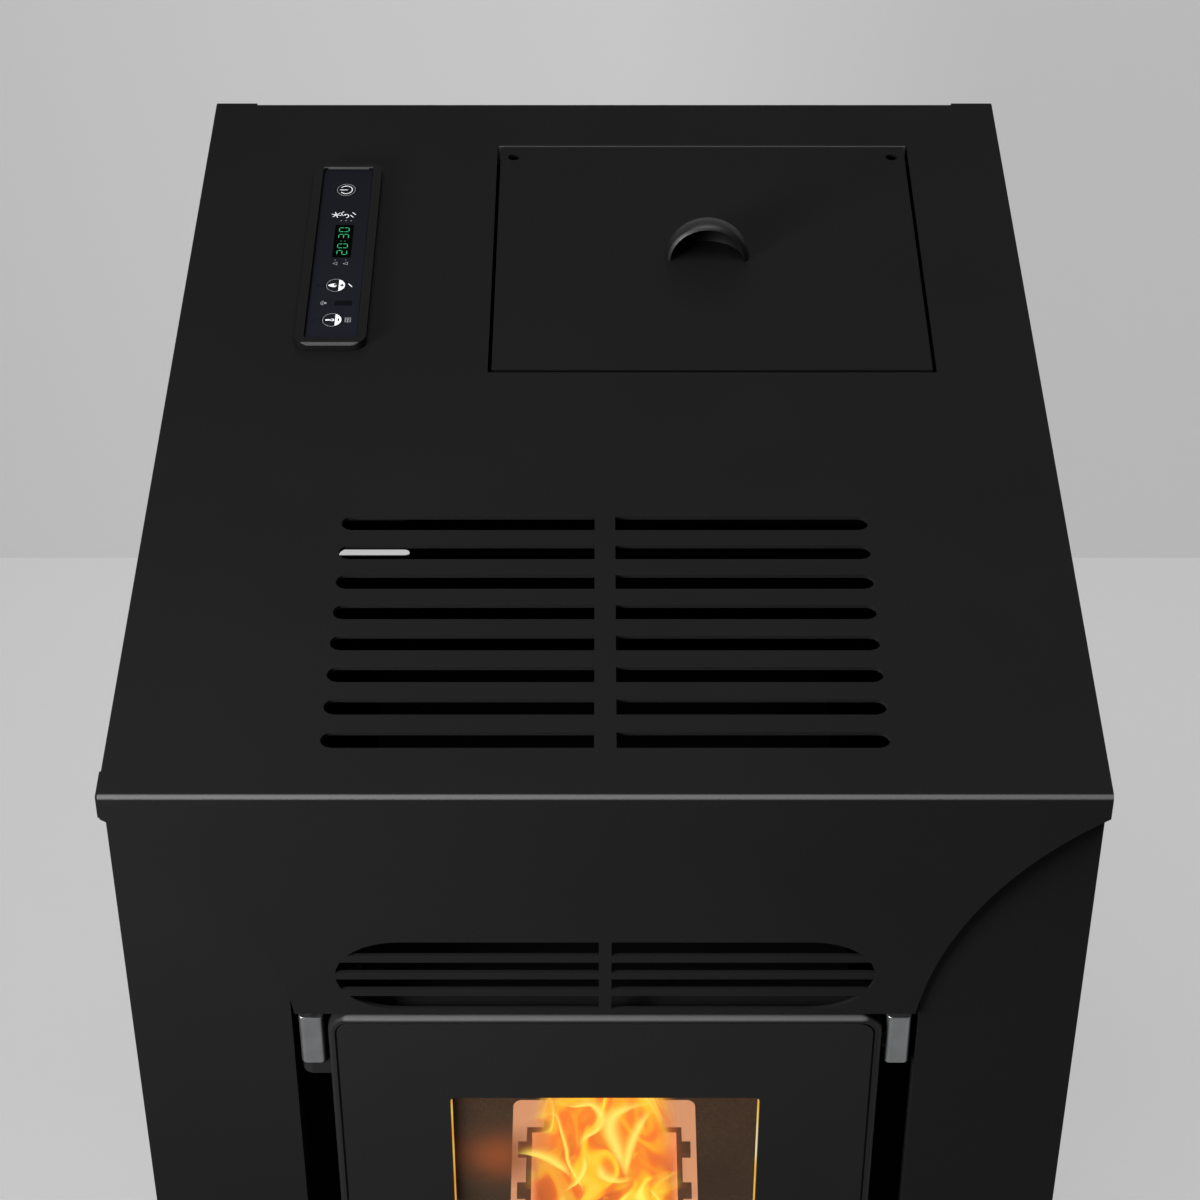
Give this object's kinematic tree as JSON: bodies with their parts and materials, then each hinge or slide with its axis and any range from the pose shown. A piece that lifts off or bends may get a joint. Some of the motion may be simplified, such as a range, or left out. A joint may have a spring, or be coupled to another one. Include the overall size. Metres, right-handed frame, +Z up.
{
  "type": "pellet stove",
  "caption": "Freestanding pellet stove: black steel cabinet with glazed door, top air grille, hopper lid, control panel, auger feed, fans and ash drawer.",
  "frame": {"origin": "on the floor, under the middle of the stove's bounding box", "axes": "+Z up, the door faces -Y, +X to the right of someone who faces the door"},
  "size_m": [0.461, 0.679, 0.9246],
  "materials": {
    "black_paint": "satin powder coat",
    "column_paint": "satin powder coat, slightly darker",
    "iron": "rough, heat resistant black",
    "zinc": "zinc plated",
    "steel": "bare",
    "vermiculite": "matt pressed board",
    "glass": "smoked, polished",
    "rope": "braided",
    "plastic": "semi-gloss",
    "keypad": "smooth film",
    "rubber": "matt",
    "board": "solder resist"
  },
  "bodies": {
    "cabinet": {"top_cover": "black_paint", "back_panel": "black_paint", "lower_front_panel": "black_paint", "side_panel_left": "column_paint", "side_panel_right": "column_paint", "base_tray": "column_paint", "front_frame": "column_paint", "hinge_pin_upper": "iron", "hinge_pin_lower": "iron", "firebox_shell": "iron", "burn_pot_cradle": "iron", "heat_exchanger": "iron", "smoke_box": "iron", "exhaust_housing": "iron", "auger_gearmotor": "iron", "blower_motor": "iron", "ash_chamber": "iron", "hinge_block_upper": "zinc", "hinge_block_lower": "zinc", "catch_block": "zinc", "hopper": "zinc", "hopper_guard": "zinc", "blower_housing": "zinc", "igniter": "steel", "exhaust_motor": "steel", "flue_spigot": "steel", "air_intake_pipe": "steel", "auger_tube": "steel", "drop_chute": "steel", "lid_hinge_rod": "steel", "lining_back": "vermiculite", "lining_left": "vermiculite", "lining_right": "vermiculite", "baffle_plate": "vermiculite", "control_bezel": "plastic", "mains_inlet": "plastic", "control_overlay": "keypad", "foot_front_left": "rubber", "foot_front_right": "rubber", "foot_rear_left": "rubber", "foot_rear_right": "rubber", "control_board": "board"},
    "door": {"door_frame": "black_paint", "door_glass": "glass", "glass_retainer": "steel", "door_gasket": "rope", "door_handle": "iron"},
    "lid": {"hopper_lid": "black_paint", "lid_pull": "plastic"},
    "ash_drawer": {"ash_drawer": "zinc", "drawer_front": "black_paint"},
    "burn_pot": {"burn_pot": "iron"},
    "key_power": {"key_power": "keypad"},
    "key_up": {"key_up": "keypad"},
    "key_down": {"key_down": "keypad"},
    "auger": {"auger_screw": "steel"},
    "exhaust_fan": {"exhaust_impeller": "steel"},
    "blower_drum": {"blower_impeller": "zinc"},
    "rocker": {"mains_rocker": "rubber"},
    "plunger": {"catch_plunger": "steel"}
  },
  "joints": [
    {"name": "door_hinge", "type": "hinge", "parent": "cabinet", "child": "door", "pos_m": [-0.142, -0.2895, 0.544], "axis": [0, 0, -1], "range_deg": [0, 95]},
    {"name": "lid_hinge", "type": "hinge", "parent": "cabinet", "child": "lid", "pos_m": [0.057, 0.2419, 0.895], "axis": [-1, 0, 0], "range_deg": [0, 95]},
    {"name": "ash_drawer_slide", "type": "slide", "parent": "cabinet", "child": "ash_drawer", "axis": [0, -1, 0], "range_m": [0, 0.2]},
    {"name": "burn_pot_lift", "type": "slide", "parent": "cabinet", "child": "burn_pot", "axis": [0, 0, 1], "range_m": [0, 0.075]},
    {"name": "key_power_press", "type": "slide", "parent": "cabinet", "child": "key_power", "axis": [0, 0, -1], "range_m": [0, 0.0006], "stiffness_N_per_m": 400, "springref_m": -0.0006},
    {"name": "key_up_press", "type": "slide", "parent": "cabinet", "child": "key_up", "axis": [0, 0, -1], "range_m": [0, 0.0006], "stiffness_N_per_m": 400, "springref_m": -0.0006},
    {"name": "key_down_press", "type": "slide", "parent": "cabinet", "child": "key_down", "axis": [0, 0, -1], "range_m": [0, 0.0006], "stiffness_N_per_m": 400, "springref_m": -0.0006},
    {"name": "auger_spin", "type": "hinge", "parent": "cabinet", "child": "auger", "pos_m": [0, -0.0125, 0.6], "axis": [0, -0.7071, 0.7071], "continuous": true},
    {"name": "exhaust_fan_spin", "type": "hinge", "parent": "cabinet", "child": "exhaust_fan", "pos_m": [-0.15, 0.0005, 0.29], "axis": [1, 0, 0], "continuous": true},
    {"name": "blower_spin", "type": "hinge", "parent": "cabinet", "child": "blower_drum", "pos_m": [0, -0.1475, 0.115], "axis": [1, 0, 0], "continuous": true},
    {"name": "rocker_tilt", "type": "hinge", "parent": "cabinet", "child": "rocker", "pos_m": [0.15, 0.2998, 0.176], "axis": [-1, 0, 0], "range_deg": [0, 14]},
    {"name": "catch_plunger_slide", "type": "slide", "parent": "cabinet", "child": "plunger", "axis": [1, 0, 0], "range_m": [0, 0.0025], "stiffness_N_per_m": 800, "springref_m": -0.001}
  ]
}
